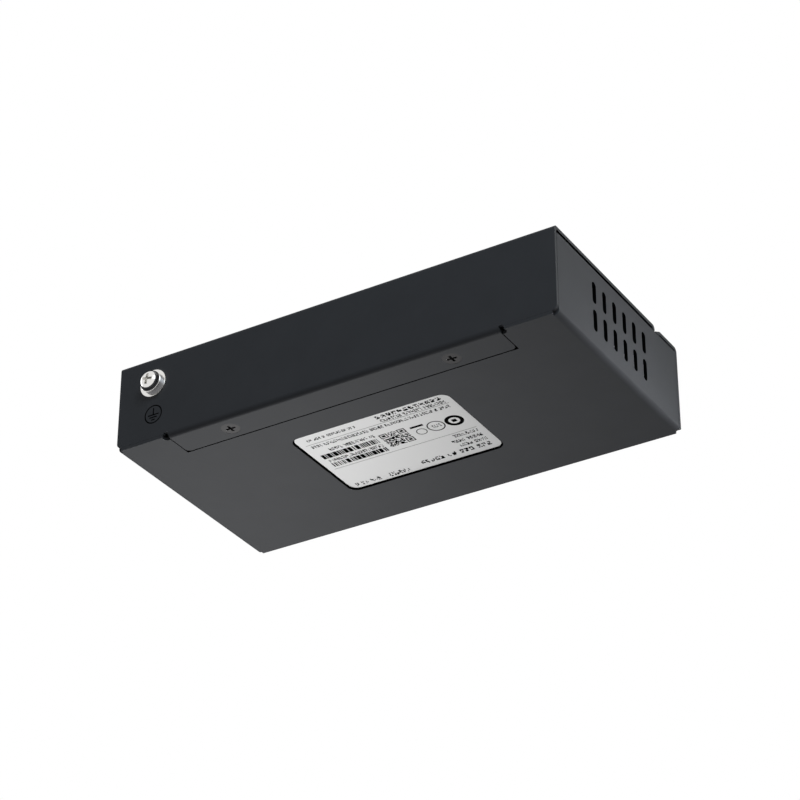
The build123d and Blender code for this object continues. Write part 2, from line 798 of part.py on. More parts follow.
export_step(fuse.part, "parts/fuse.step")
export_step(chip_capacitors.part, "parts/chip_capacitors.step")
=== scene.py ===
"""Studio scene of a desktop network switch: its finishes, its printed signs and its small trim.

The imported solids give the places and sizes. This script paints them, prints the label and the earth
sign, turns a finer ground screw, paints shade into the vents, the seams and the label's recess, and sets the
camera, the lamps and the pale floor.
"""

import functools
import logging
import math
from dataclasses import dataclass, field
from enum import Enum

import bmesh
import bpy
import numpy as np
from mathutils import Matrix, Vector

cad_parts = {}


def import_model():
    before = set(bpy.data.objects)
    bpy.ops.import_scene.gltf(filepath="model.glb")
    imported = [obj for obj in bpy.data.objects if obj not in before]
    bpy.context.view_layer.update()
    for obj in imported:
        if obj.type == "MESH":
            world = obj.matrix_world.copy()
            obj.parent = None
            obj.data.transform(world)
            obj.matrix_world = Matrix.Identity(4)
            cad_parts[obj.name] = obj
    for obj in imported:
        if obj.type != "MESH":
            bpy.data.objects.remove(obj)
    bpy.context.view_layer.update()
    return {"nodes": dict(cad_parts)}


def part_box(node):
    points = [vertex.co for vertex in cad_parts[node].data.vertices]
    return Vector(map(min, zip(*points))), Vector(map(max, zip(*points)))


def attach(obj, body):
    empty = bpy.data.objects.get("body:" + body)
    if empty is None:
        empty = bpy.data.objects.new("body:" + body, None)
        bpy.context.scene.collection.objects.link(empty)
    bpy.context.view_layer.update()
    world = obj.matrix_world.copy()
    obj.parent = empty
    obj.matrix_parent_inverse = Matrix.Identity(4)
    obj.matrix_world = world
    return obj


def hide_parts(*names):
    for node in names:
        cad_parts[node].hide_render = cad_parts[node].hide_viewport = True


LOG = logging.getLogger("switch_scene")
MM = 0.001
BODY = "root"

Colour = tuple[float, float, float]
Point = tuple[float, float, float]
# The lowest and the highest corner in metres, as the frame gives them.
Box = tuple[Vector, Vector]


class Texture(Enum):
    """The fine relief that a finish may carry."""

    SMOOTH = "smooth"
    POWDER_COAT = "powder coat"
    ROLLED = "rolled sheet"
    MOULDED = "moulded grain"


@dataclass(frozen=True)
class Grain:
    """A pattern of noise on a surface.

    Attributes:
        scale: Scale of the noise, per metre.
        detail: Detail of the noise.
        stretch: Scale of the pattern along X, Y and Z.
        depth: Height of its bump in metres, and 0 where it only shifts the colour.
    """

    scale: float
    detail: float
    stretch: Point = (1.0, 1.0, 1.0)
    depth: float = 0.0


RELIEFS: dict[Texture, Grain] = {
    Texture.POWDER_COAT: Grain(2600.0, 3.0, depth=0.010 * MM),
    Texture.ROLLED: Grain(500.0, 3.0, stretch=(1.0, 30.0, 30.0), depth=0.004 * MM),
    Texture.MOULDED: Grain(3400.0, 3.0, depth=0.008 * MM),
}
RELIEF_STRENGTH = 0.6
MOTTLE = Grain(90.0, 4.0)
MOTTLE_STOPS = (0.3, 0.7)


@dataclass(frozen=True)
class Finish:
    """One finish of the switch, from which a node material is made.

    Attributes:
        name: Material name.
        colour: Linear base colour.
        roughness: Base roughness.
        metallic: 1 for bare metal, 0 for paint, plastic and print.
        texture: Fine relief and mottling of the surface.
        variation: Share by which the colour wanders over the surface.
        transmission: Share of light that passes through.
        gloss: Specular level, 0.5 for common plastics and varnish.
    """

    name: str
    colour: Colour
    roughness: float = 0.5
    metallic: float = 0.0
    texture: Texture = Texture.SMOOTH
    variation: float = 0.0
    transmission: float = 0.0
    gloss: float = 0.5

    @functools.cache
    def material(self) -> bpy.types.Material:
        """Build the finish once and return it on later calls.

        Returns:
            The node material of this finish.
        """
        made = bpy.data.materials.new(f"look_{self.name}")
        made.use_nodes = True
        shader = made.node_tree.nodes["Principled BSDF"]
        shader.inputs["Base Color"].default_value = (*self.colour, 1.0)
        shader.inputs["Roughness"].default_value = self.roughness
        shader.inputs["Metallic"].default_value = self.metallic
        shader.inputs["Transmission Weight"].default_value = self.transmission
        shader.inputs["Specular IOR Level"].default_value = self.gloss
        if self.variation:
            self._mottle(made.node_tree, shader)
        if self.texture is not Texture.SMOOTH:
            self._relief(made.node_tree, shader)
        return made

    def _noise(self, tree: bpy.types.NodeTree, grain: Grain) -> bpy.types.NodeSocket:
        """Add noise that runs on object coordinates.

        Args:
            tree: Node tree that gets the nodes.
            grain: Pattern of the noise.

        Returns:
            The value socket of the noise.
        """
        place = tree.nodes.new("ShaderNodeTexCoord")
        mapping = tree.nodes.new("ShaderNodeMapping")
        mapping.inputs["Scale"].default_value = grain.stretch
        noise = tree.nodes.new("ShaderNodeTexNoise")
        noise.inputs["Scale"].default_value = grain.scale
        noise.inputs["Detail"].default_value = grain.detail
        tree.links.new(place.outputs["Object"], mapping.inputs["Vector"])
        tree.links.new(mapping.outputs["Vector"], noise.inputs["Vector"])
        return noise.outputs["Fac"]

    def _mottle(self, tree: bpy.types.NodeTree, shader: bpy.types.Node) -> None:
        """Let the colour wander slowly between a darker and a lighter tone.

        Args:
            tree: Node tree that gets the nodes.
            shader: Principled shader whose colour is driven.
        """
        ramp = tree.nodes.new("ShaderNodeValToRGB")
        shifts = (-self.variation, self.variation)
        for stop, place, shift in zip(ramp.color_ramp.elements, MOTTLE_STOPS, shifts):
            stop.position = place
            stop.color = (*(min(1.0, c * (1.0 + shift)) for c in self.colour), 1.0)
        tree.links.new(self._noise(tree, MOTTLE), ramp.inputs["Fac"])
        tree.links.new(ramp.outputs["Color"], shader.inputs["Base Color"])

    def _relief(self, tree: bpy.types.NodeTree, shader: bpy.types.Node) -> None:
        """Add the fine bump of powder coat, rolled sheet or a moulded skin.

        Args:
            tree: Node tree that gets the nodes.
            shader: Principled shader whose normal is driven.
        """
        relief = RELIEFS[self.texture]
        bump = tree.nodes.new("ShaderNodeBump")
        bump.inputs["Strength"].default_value = RELIEF_STRENGTH
        bump.inputs["Distance"].default_value = relief.depth
        tree.links.new(self._noise(tree, relief), bump.inputs["Height"])
        tree.links.new(bump.outputs["Normal"], shader.inputs["Normal"])


PAINT = Finish("case_paint", (0.057, 0.060, 0.066), 0.5, texture=Texture.POWDER_COAT, variation=0.04,
               gloss=0.05)
LABEL_FILM = Finish("label_film", (0.86, 0.86, 0.855), 0.42)
PRINT_BLACK = Finish("print_black", (0.005, 0.005, 0.005), 0.7, gloss=0.0)
PRINT_GREY = Finish("print_grey", (0.2, 0.2, 0.195), 0.6, gloss=0.0)
# Black of the printed earth sign, also used for the painted shade in the vents, the seams and the label's
# recess.
INK_AND_PAINTED_SHADE = Finish("ink_and_painted_shade", (0.002, 0.002, 0.002), 0.7, gloss=0.0)
NICKEL = Finish("bright_nickel", (0.74, 0.73, 0.71), 0.2, 1.0)
# Painted shade and dark reflection for the steep foot of the ground screw's crown.
NICKEL_PAINTED_SHADE = Finish("nickel_painted_shade", (0.045, 0.045, 0.047), 0.35, 1.0)
DARK_STEEL = Finish("dark_steel", (0.2, 0.2, 0.21), 0.38, 1.0)
BLACK_SCREW = Finish("painted_screw", (0.056, 0.054, 0.056), 0.45, texture=Texture.POWDER_COAT, gloss=0.06)
ZINC = Finish("zinc_plate", (0.56, 0.57, 0.58), 0.34, 1.0, Texture.ROLLED, 0.05)
SHIELD = Finish("tinned_shield", (0.63, 0.63, 0.62), 0.3, 1.0, Texture.ROLLED, 0.04)
GOLD = Finish("gold_plate", (0.86, 0.6, 0.22), 0.24, 1.0)
BLACK_PLASTIC = Finish("black_moulding", (0.018, 0.018, 0.02), 0.45, texture=Texture.MOULDED)
LAMINATE = Finish("board_laminate", (0.012, 0.085, 0.035), 0.35, variation=0.12)
CLEAR = Finish("clear_guide", (0.82, 0.86, 0.84), 0.28, transmission=0.75)
LAMP = Finish("lamp_body", (0.85, 0.8, 0.55), 0.4)
RESIN = Finish("chip_resin", (0.022, 0.022, 0.024), 0.6, texture=Texture.MOULDED)
PAD = Finish("pad_silicone", (0.36, 0.42, 0.5), 0.7)
BLACK_ANODISED = Finish("black_anodised", (0.03, 0.03, 0.034), 0.4, 0.6, Texture.ROLLED)
BARE_ALUMINIUM = Finish("bare_aluminium", (0.72, 0.72, 0.73), 0.32, 1.0, Texture.ROLLED)
FERRITE = Finish("ferrite", (0.06, 0.06, 0.065), 0.65, texture=Texture.MOULDED)
CERAMIC = Finish("ceramic", (0.5, 0.36, 0.22), 0.5)

NODE_FINISHES: dict[str, Finish] = {
    "base_tray": PAINT,
    "top_cover": PAINT,
    "rating_label": LABEL_FILM,
    "cover_screws": BLACK_SCREW,
    "ground_screw": NICKEL,
    "spring_washer": DARK_STEEL,
    "flat_washer": NICKEL,
    "clinch_nut": ZINC,
    "board_standoffs": ZINC,
    "board_screws": ZINC,
    "circuit_board": LAMINATE,
    "jack_housing_left": BLACK_PLASTIC,
    "jack_housing_right": BLACK_PLASTIC,
    "jack_shield_left": SHIELD,
    "jack_shield_right": SHIELD,
    "jack_contacts_left": GOLD,
    "jack_contacts_right": GOLD,
    "power_jack_body": BLACK_PLASTIC,
    "power_jack_pin": NICKEL,
    "power_jack_terminals": ZINC,
    "light_guide": CLEAR,
    "indicator_lamps": LAMP,
    "line_transformers": RESIN,
    "switch_chip": RESIN,
    "thermal_pad": PAD,
    "heat_sink": BLACK_ANODISED,
    "flash_chip": RESIN,
    "crystal_can": BARE_ALUMINIUM,
    "smoothing_capacitors": BARE_ALUMINIUM,
    "power_inductors": FERRITE,
    "regulator_chips": RESIN,
    "input_diode": RESIN,
    "fuse": CERAMIC,
    "chip_capacitors": CERAMIC,
}


def middle_of(box: Box) -> Vector:
    """Return the middle of a box."""
    return (box[0] + box[1]) / 2


def turn_faces_out(mesh: bpy.types.Mesh) -> None:
    """Make the faces of a closed mesh look outwards.

    Args:
        mesh: Mesh that is changed in place.
    """
    shape = bmesh.new()
    shape.from_mesh(mesh)
    bmesh.ops.recalc_face_normals(shape, faces=shape.faces)
    shape.to_mesh(mesh)
    shape.free()


def link(data: bpy.types.ID) -> bpy.types.Object:
    """Make an object of a mesh, a lamp or a camera and put it in the scene.

    Args:
        data: What the object shows; the object takes its name.

    Returns:
        The object.
    """
    made = bpy.data.objects.new(data.name, data)
    bpy.context.scene.collection.objects.link(made)
    return made


def rectangle(left: float, bottom: float, right: float, top: float) -> np.ndarray:
    """Return the corners of an upright rectangle, counter-clockwise."""
    return np.array([(left, bottom), (right, bottom), (right, top), (left, top)])


def rounded(half: np.ndarray, radius: float, steps: int) -> np.ndarray:
    """Return the outline of a rounded rectangle about the origin, counter-clockwise.

    Args:
        half: Half of its width and height.
        radius: Radius of its corners.
        steps: Steps of each corner.

    Returns:
        Corners (4 * steps, 2).
    """
    turn = np.linspace(0.0, 0.5 * np.pi, steps)
    corners = []
    for quarter, sign in enumerate(((1, 1), (-1, 1), (-1, -1), (1, -1))):
        angle = turn + 0.5 * np.pi * quarter
        corners.append((half - radius) * sign + radius * np.column_stack((np.cos(angle), np.sin(angle))))
    return np.vstack(corners)


@dataclass(frozen=True)
class Axes:
    """Directions of a flat face: across, up and outwards.

    Attributes:
        origin: Point of the face that the outlines are measured from.
        across: Unit vector of the first outline coordinate.
        up: Unit vector of the second outline coordinate.
        out: Unit outward normal.
    """

    origin: Vector
    across: Vector
    up: Vector
    out: Vector

    def points(self, outline: np.ndarray, level: float) -> np.ndarray:
        """Place plane coordinates in space: origin + u across + v up + level out.

        Args:
            outline: Plane coordinates (n, 2).
            level: Height along the normal.

        Returns:
            Points (n, 3).
        """
        base = np.array(self.origin) + level * np.array(self.out)
        return base + outline[:, :1] * np.array(self.across) + outline[:, 1:] * np.array(self.up)


def facing_down(origin: Vector) -> Axes:
    """Return the plane of a face that looks down, with X across and the port side up.

    Args:
        origin: Point of the face.

    Returns:
        Directions of the face.
    """
    return Axes(origin, Vector((1, 0, 0)), Vector((0, -1, 0)), Vector((0, 0, -1)))


@dataclass
class MeshBuilder:
    """Gathers closed shapes as numpy arrays and makes one object of them.

    Attributes:
        name: Name of the object.
        vertices: Arrays of corner points in metres.
        faces: Corner indices of each face.
        slots: Material index of each face.
        finishes: Finishes of the object, in slot order.
    """

    name: str
    vertices: list[np.ndarray] = field(default_factory=list)
    faces: list[tuple[int, ...]] = field(default_factory=list)
    slots: list[int] = field(default_factory=list)
    finishes: list[Finish] = field(default_factory=list)

    def _slot(self, finish: Finish) -> int:
        """Return the slot of a finish, adding it if it is new.

        Args:
            finish: Finish of a shape.

        Returns:
            Its index among the materials.
        """
        if finish not in self.finishes:
            self.finishes.append(finish)
        return self.finishes.index(finish)

    def _next(self) -> int:
        """Return the index that the next corner gets."""
        return sum(len(v) for v in self.vertices)

    def prism(self, outline: np.ndarray, low: float, high: float, axes: Axes, finish: Finish) -> None:
        """Add an outline carried straight from one level to another, closed at both ends.

        Args:
            outline: Corners (n, 2) in the face's own plane, counter-clockwise as seen from outside.
            low: Level of the hidden end, along the outward normal.
            high: Level of the seen end.
            axes: Directions of the face.
            finish: Finish of the shape.
        """
        count = len(outline)
        first = self._next()
        self.vertices.append(np.vstack([axes.points(outline, level) for level in (low, high)]))
        lower = first + np.arange(count)
        upper = lower + count
        sides = np.stack((lower, np.roll(lower, -1), np.roll(upper, -1), upper), axis=-1)
        self.faces.extend([tuple(upper.tolist()), tuple(lower[::-1].tolist()), *map(tuple, sides.tolist())])
        self.slots.extend([self._slot(finish)] * (count + 2))

    def band(self, inner: np.ndarray, outer: np.ndarray, low: float, high: float, axes: Axes,
             finish: Finish) -> None:
        """Add a flat band between two outlines of as many corners.

        Args:
            inner: Corners (n, 2) of the inner outline, counter-clockwise as seen from outside.
            outer: Corners (n, 2) of the outer outline.
            low: Level of the hidden side.
            high: Level of the seen side.
            axes: Directions of the face.
            finish: Finish of the band.
        """
        steps = len(inner)
        loops = [(inner, low), (outer, low), (outer, high), (inner, high)]
        corners = self._next() + np.arange(len(loops) * steps).reshape(len(loops), steps)
        self.vertices.append(np.vstack([axes.points(outline, level) for outline, level in loops]))
        there = np.roll(corners, -1, axis=0)
        quads = np.stack((corners, np.roll(corners, -1, axis=1), np.roll(there, -1, axis=1), there), axis=-1)
        self.faces.extend(map(tuple, quads.reshape(-1, 4).tolist()))
        self.slots.extend([self._slot(finish)] * (len(loops) * steps))

    def ring(self, centre: tuple[float, float], radii: tuple[float, float], low: float, high: float,
             axes: Axes, finish: Finish, steps: int = 48) -> None:
        """Add a flat round ring.

        Args:
            centre: Centre in the face's plane.
            radii: Inner and outer radius.
            low: Level of the hidden side.
            high: Level of the seen side.
            axes: Directions of the face.
            finish: Finish of the ring.
            steps: Number of steps round the ring.
        """
        angle = np.linspace(0.0, 2.0 * np.pi, steps, endpoint=False)
        circle = np.column_stack((np.cos(angle), np.sin(angle)))
        inner, outer = (np.array(centre) + radius * circle for radius in radii)
        self.band(inner, outer, low, high, axes, finish)

    def build(self, slot: str) -> bpy.types.Object:
        """Make the object, dress it and let it ride on the switch.

        Args:
            slot: Not used.

        Returns:
            The finished object.
        """
        mesh = bpy.data.meshes.new(self.name)
        mesh.from_pydata(np.vstack(self.vertices).tolist(), [], self.faces)
        for finish in self.finishes:
            mesh.materials.append(finish.material())
        mesh.polygons.foreach_set("material_index", np.array(self.slots, dtype=np.int32))
        mesh.update()
        piece = link(mesh)
        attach(piece, BODY)
        return piece


@dataclass
class LabelPrint:
    """The print on the rating label, kept to broken marks, rules, bars, rings and a mosaic, with painted
    shade in the gap round the label.

    The label's own plane has u along its reading direction (+X) and v towards its top (-Y). Lengths are in
    millimetres, and places are measured from the middle of the label.

    Attributes:
        film: Box of the label.
        corner: Radius of the label's corners.
        corner_steps: Steps of each corner.
        gap: Gap between the label and the wall of its recess.
        gap_fill: Share of the gap that the painted shade takes, and the share where its upright part starts.
        ink: Height of the print over the film's face.
        sink: Depth of the print below the film's face.
        floor_film: Thickness of the painted shade on the floor of the recess.
        rim: Depth at which the painted shade ends below the underside.
        seed: Seed of the random marks and bars.
        fill: Share of the cells that a broken mark fills.
        dense_fill: Share that the mosaic and the spaced marks fill.
        cell_cover: Share of its pitch that a cell covers.
        mark_grid: Cells of a mark, across and up.
        mark_width: Share of its pitch that a mark takes.
        word_share: Share of marks that another mark follows closely.
        word_gap: Pitch to the next mark after a word.
        rules: Thin lines: left, right and height.
        rule_half: Half of a thin line's width.
        rows: Rows of marks: left, right, middle height, height and pitch.
        spaced_row: Row of single marks: left, right, middle height and height.
        spaced_marks: Number of single marks.
        spaced_grid: Cells of a single mark, across and up.
        spaced_width: Width of a single mark as a share of its height.
        bars: Groups of bars: left, right, bottom and top.
        bar_unit: Narrowest bar.
        bar_widths: Widths of bars to choose from, in units.
        bar_spaces: Spaces between bars to choose from, in units.
        rings: Rings: centre across, centre up, inner and outer radius.
        blocks: Solid blocks: left, bottom, right and top.
        mosaic: Left, bottom, right and top of the mosaic.
        mosaic_cells: Cells along each side of the mosaic.
        mosaic_eye: Cells along each side of its three framed squares.
    """

    film: Box
    corner: float = 2.4
    corner_steps: int = 8
    gap: float = 0.5
    gap_fill: tuple[float, float] = (0.98, 0.78)
    ink: float = 0.012
    sink: float = 0.02
    floor_film: float = 0.02
    rim: float = 0.05
    seed: int = 11
    fill: float = 0.52
    dense_fill: float = 0.6
    cell_cover: float = 0.98
    mark_grid: tuple[int, int] = (3, 4)
    mark_width: float = 0.8
    word_share: float = 0.85
    word_gap: float = 1.7
    rules: tuple[tuple[float, float, float], ...] = ((-23.1, 23.1, -11.3), (-23.0, 23.2, 3.75))
    rule_half: float = 0.07
    rows: tuple[tuple[float, float, float, float, float], ...] = (
        (-22.1, 0.6, 13.4, 1.9, 1.5),
        (-22.5, -13.5, 10.5, 1.5, 1.0),
        (-22.4, -12.1, 8.0, 1.5, 1.0),
        (-22.6, -13.3, 5.3, 1.5, 1.0),
        (3.9, 18.6, -6.4, 1.5, 0.85),
        (4.4, 22.9, -0.85, 1.5, 0.85),
        (-22.3, 22.3, -9.75, 1.4, 0.85),
        (-22.4, -1.0, -12.45, 1.4, 0.85),
        (5.8, 21.7, -13.45, 1.2, 0.8),
        (5.0, 12.8, 14.6, 2.0, 1.15),
        (14.5, 22.8, 14.55, 1.8, 1.15),
        (-15.2, -12.2, -2.75, 0.7, 0.6),
        (-15.2, -12.2, -1.85, 0.7, 0.6),
    )
    spaced_row: tuple[float, float, float, float] = (-22.2, -1.3, -14.5, 1.6)
    spaced_marks: int = 12
    spaced_grid: tuple[int, int] = (4, 4)
    spaced_width: float = 0.85
    bars: tuple[tuple[float, float, float, float], ...] = ((4.2, 22.6, -4.8, -2.4), (4.3, 22.6, 0.4, 2.6))
    bar_unit: float = 0.2
    bar_widths: tuple[int, ...] = (1, 2, 2, 3, 6)
    bar_spaces: tuple[int, ...] = (1, 1, 1, 2)
    rings: tuple[tuple[float, float, float, float], ...] = (
        (-19.5, -2.3, 1.65, 2.75), (-13.7, -2.3, 2.3, 2.65), (-8.8, -1.7, 1.35, 1.6),
    )
    blocks: tuple[tuple[float, float, float, float], ...] = (
        (-20.2, -3.0, -18.8, -1.6), (-10.9, -5.25, -6.8, -4.35),
    )
    mosaic: tuple[float, float, float, float] = (-5.3, -6.0, 2.9, 1.4)
    mosaic_cells: int = 23
    mosaic_eye: int = 7

    def axes(self) -> Axes:
        """Return the label's plane, with its origin in the middle of the film's lower face."""
        middle = middle_of(self.film)
        return facing_down(Vector((middle.x, middle.y, self.film[0].z)))

    def _mark(self, builder: MeshBuilder, outline: np.ndarray, finish: Finish) -> None:
        """Print one outline, given in millimetres."""
        builder.prism(outline * MM, -self.sink * MM, self.ink * MM, self.axes(), finish)

    def _cells(self, builder: MeshBuilder, filled: np.ndarray, box: tuple[float, ...]) -> None:
        """Print the filled cells of a small grid.

        Args:
            builder: Builder of the print.
            filled: Grid of truth values, across by up.
            box: Left, bottom, right and top of the grid.
        """
        left, bottom, right, top = box
        step_u = (right - left) / filled.shape[0]
        step_v = (top - bottom) / filled.shape[1]
        for i, j in zip(*np.nonzero(filled)):
            u, v = left + i * step_u, bottom + j * step_v
            cell = rectangle(u, v, u + self.cell_cover * step_u, v + self.cell_cover * step_v)
            self._mark(builder, cell, PRINT_BLACK)

    def _row(self, builder: MeshBuilder, rng: np.random.Generator, row: tuple[float, ...]) -> None:
        """Print a row of small broken marks, like words too small to read.

        Args:
            builder: Builder of the print.
            rng: Seeded generator.
            row: Left, right, middle height, height and pitch of the marks.
        """
        left, right, middle, height, pitch = row
        bottom, top = middle - height / 2, middle + height / 2
        width = self.mark_width * pitch
        at = left
        while at + width < right:
            filled = rng.random(self.mark_grid) < self.fill
            self._cells(builder, filled, (at, bottom, at + width, top))
            at += pitch * (1.0 if rng.random() < self.word_share else self.word_gap)

    def _bar_group(self, builder: MeshBuilder, rng: np.random.Generator, box: tuple[float, ...]) -> None:
        """Print upright bars of uneven width.

        Args:
            builder: Builder of the print.
            rng: Seeded generator.
            box: Left, right, bottom and top.
        """
        left, right, bottom, top = box
        at = left
        while at < right:
            width = self.bar_unit * rng.choice(self.bar_widths)
            self._mark(builder, rectangle(at, bottom, min(at + width, right), top), PRINT_BLACK)
            at += width + self.bar_unit * rng.choice(self.bar_spaces)

    def _mosaic(self, builder: MeshBuilder, rng: np.random.Generator) -> None:
        """Print a block of small squares with a framed square in three corners.

        Args:
            builder: Builder of the print.
            rng: Seeded generator.
        """
        count, eye = self.mosaic_cells, self.mosaic_eye
        filled = rng.random((count, count)) < self.dense_fill
        mark = np.ones((eye, eye), dtype=bool)
        mark[1:-1, 1:-1] = False
        mark[2:-2, 2:-2] = True
        for i, j in ((0, 0), (0, count - eye), (count - eye, 0)):
            filled[max(i - 1, 0):i + eye + 1, max(j - 1, 0):j + eye + 1] = False
            filled[i:i + eye, j:j + eye] = mark
        self._cells(builder, filled, self.mosaic)

    def _recess_shade(self, builder: MeshBuilder) -> None:
        """Paint shade into the narrow gap between the label and the wall of its recess, as a black lining.

        Args:
            builder: Builder of the print.
        """
        low, high = self.film
        plane = self.axes()
        floor = low.z - high.z
        size = np.array((high.x - low.x, high.y - low.y)) / MM / 2
        label = rounded(size, self.corner, self.corner_steps) * MM
        wall, lining = (rounded(size + share * self.gap, self.corner + self.gap, self.corner_steps) * MM
                        for share in self.gap_fill)
        # Black lining on the floor and the wall of the recess: painted shade.
        builder.band(label, wall, floor, floor + self.floor_film * MM, plane, INK_AND_PAINTED_SHADE)
        builder.band(lining, wall, floor, low.z - self.rim * MM, plane, INK_AND_PAINTED_SHADE)

    def _text(self, rng: np.random.Generator) -> MeshBuilder:
        """Print the rows of marks, the single marks and the thin lines.

        Args:
            rng: Seeded generator.

        Returns:
            Builder of the rows.
        """
        text = MeshBuilder("label_rows")
        for row in self.rows:
            self._row(text, rng, row)
        left, right, middle, height = self.spaced_row
        bottom, top = middle - height / 2, middle + height / 2
        for at in np.linspace(left, right - height, self.spaced_marks):
            filled = rng.random(self.spaced_grid) < self.dense_fill
            self._cells(text, filled, (at, bottom, at + self.spaced_width * height, top))
        for start, end, level in self.rules:
            line = rectangle(start, level - self.rule_half, end, level + self.rule_half)
            self._mark(text, line, PRINT_GREY)
        return text

    def _signs(self, rng: np.random.Generator) -> MeshBuilder:
        """Print the bars, the mosaic and the plain marks, and paint shade into the gap round the label.

        Args:
            rng: Seeded generator.

        Returns:
            Builder of the marks and of the painted shade.
        """
        marks = MeshBuilder("label_marks_and_recess_shade")
        for box in self.bars:
            self._bar_group(marks, rng, box)
        self._mosaic(marks, rng)
        for box in self.blocks:
            self._mark(marks, rectangle(*box), PRINT_BLACK)
        for across, up, inner, outer in np.array(self.rings) * MM:
            marks.ring((across, up), (inner, outer), -self.sink * MM, self.ink * MM, self.axes(), PRINT_BLACK)
        self._recess_shade(marks)
        return marks

    def build(self) -> list[bpy.types.Object]:
        """Print everything.

        Returns:
            The printed pieces.
        """
        rng = np.random.default_rng(self.seed)
        return [builder.build("label_film") for builder in (self._text(rng), self._signs(rng))]


@dataclass
class GroundScrew:
    """The nickelled screw of the ground terminal: a flanged pan head with a cross recess.

    Lengths are in millimetres.

    Attributes:
        solid: Box of the solid that it stands for.
        turn: Turn of the cross in degrees.
        steps: Steps round the screw.
        head_height: Height of the head.
        shank: Radii and levels of the shank from its tip.
        flange: Radii and levels of the flange from the head's seat.
        crown_rise: Height of the crown over the flange.
        crown_radius: Radius that sets the crown's width.
        crown_sweep: First and last angle of the crown's curve, in radians, and its steps.
        crown_power: Power of the curve, under 1 for a flat top with a steep foot.
        cross_reach: Half of the length of the cross.
        cross_half: Half of the width of its arms.
        cross_depth: Depth of the cross.
        punch_over: Height by which the punch stands over the head.
        punch_scales: Size of the punch at its top and at its tip, as shares of the cross.
        foot_depth: Least and greatest depth under the top of the crown's foot, which takes painted shade.
        foot_radius: Least radius of the foot.
        sharp_angle: Angle in degrees from which an edge looks sharp.
    """

    solid: Box
    turn: float = 12.0
    steps: int = 96
    head_height: float = 2.2
    shank: tuple[tuple[float, float], ...] = ((1.55, 0.0), (1.95, 0.4))
    flange: tuple[tuple[float, float], ...] = (
        (3.22, 0.0), (3.3, 0.08), (3.3, 0.4), (3.22, 0.48), (2.95, 0.5),
    )
    crown_rise: float = 1.7
    crown_radius: float = 2.85
    crown_sweep: tuple[float, float, int] = (0.12, 1.42, 22)
    crown_power: float = 0.62
    cross_reach: float = 1.75
    cross_half: float = 0.42
    cross_depth: float = 1.5
    punch_over: float = 0.4
    punch_scales: tuple[float, float] = (1.12, 0.55)
    foot_depth: tuple[float, float] = (0.75, 1.72)
    foot_radius: float = 2.2
    sharp_angle: float = 32.0

    def _profile(self, length: float) -> np.ndarray:
        """Return the turned outline from the tip to the crown, as radius and level in millimetres.

        Along the crown the radius goes as a power of the cosine of the sweep, the level as its sine.

        Args:
            length: Length of the shank.

        Returns:
            Points (n, 2).
        """
        sweep = np.linspace(*self.crown_sweep)
        seat = np.array((0.0, length))
        flange = np.array(self.flange) + seat
        rise = self.crown_rise * np.sin(sweep) / np.sin(sweep[-1])
        crown = np.column_stack((self.crown_radius * np.cos(sweep) ** self.crown_power, flange[-1, 1] + rise))
        neck = seat + (self.shank[-1][0], 0.0)
        return np.vstack((self.shank, neck, flange, crown))

    def _body(self) -> bpy.types.Object:
        """Turn the outline round the screw's axis.

        Returns:
            The screw without its cross.
        """
        low, high = self.solid
        middle = middle_of(self.solid)
        length = (high.y - low.y) / MM - self.head_height
        profile = self._profile(length) * MM
        angle = np.linspace(0.0, 2.0 * np.pi, self.steps, endpoint=False)
        radius, level = profile[:, :1], profile[:, 1:]
        points = np.stack((
            middle.x + radius * np.cos(angle),
            low.y + np.broadcast_to(level, (len(profile), self.steps)),
            middle.z + radius * np.sin(angle),
        ), axis=-1).reshape(-1, 3)
        corners = np.arange(len(points)).reshape(-1, self.steps)
        here, there = corners[:-1], corners[1:]
        quads = np.stack((here, there, np.roll(there, -1, axis=1), np.roll(here, -1, axis=1)), axis=-1)
        caps = [corners[0].tolist(), corners[-1, ::-1].tolist()]
        mesh = bpy.data.meshes.new("ground_screw_fine")
        mesh.from_pydata(points.tolist(), [], quads.reshape(-1, 4).tolist() + caps)
        mesh.materials.append(NICKEL.material())
        mesh.update()
        return link(mesh)

    def _punch(self) -> bpy.types.Object:
        """Make the tapered cross that is cut out of the head: one arm, turned by quarters.

        Returns:
            The cutting shape.
        """
        half, reach = self.cross_half * MM, self.cross_reach * MM
        arm = np.array([(half, half), (half, reach), (-half, reach)])
        quarter = np.array([(0.0, 1.0), (-1.0, 0.0)])
        outline = np.vstack([arm @ np.linalg.matrix_power(quarter, k) for k in range(4)])
        turn = math.radians(self.turn)
        cos, sin = math.cos(turn), math.sin(turn)
        outline = outline @ np.array([(cos, sin), (-sin, cos)])
        middle = middle_of(self.solid)
        top = self.solid[1].y
        levels = (top + self.punch_over * MM, top - self.cross_depth * MM)
        points = np.vstack([
            np.column_stack((middle.x + scale * outline[:, 0], np.full(len(outline), level),
                             middle.z + scale * outline[:, 1]))
            for level, scale in zip(levels, self.punch_scales)
        ])
        upper, lower = np.arange(len(points)).reshape(2, -1)
        sides = np.stack((upper, lower, np.roll(lower, -1), np.roll(upper, -1)), axis=-1)
        mesh = bpy.data.meshes.new("cross_punch")
        mesh.from_pydata(points.tolist(), [], [upper.tolist(), lower[::-1].tolist(), *sides.tolist()])
        return link(mesh)

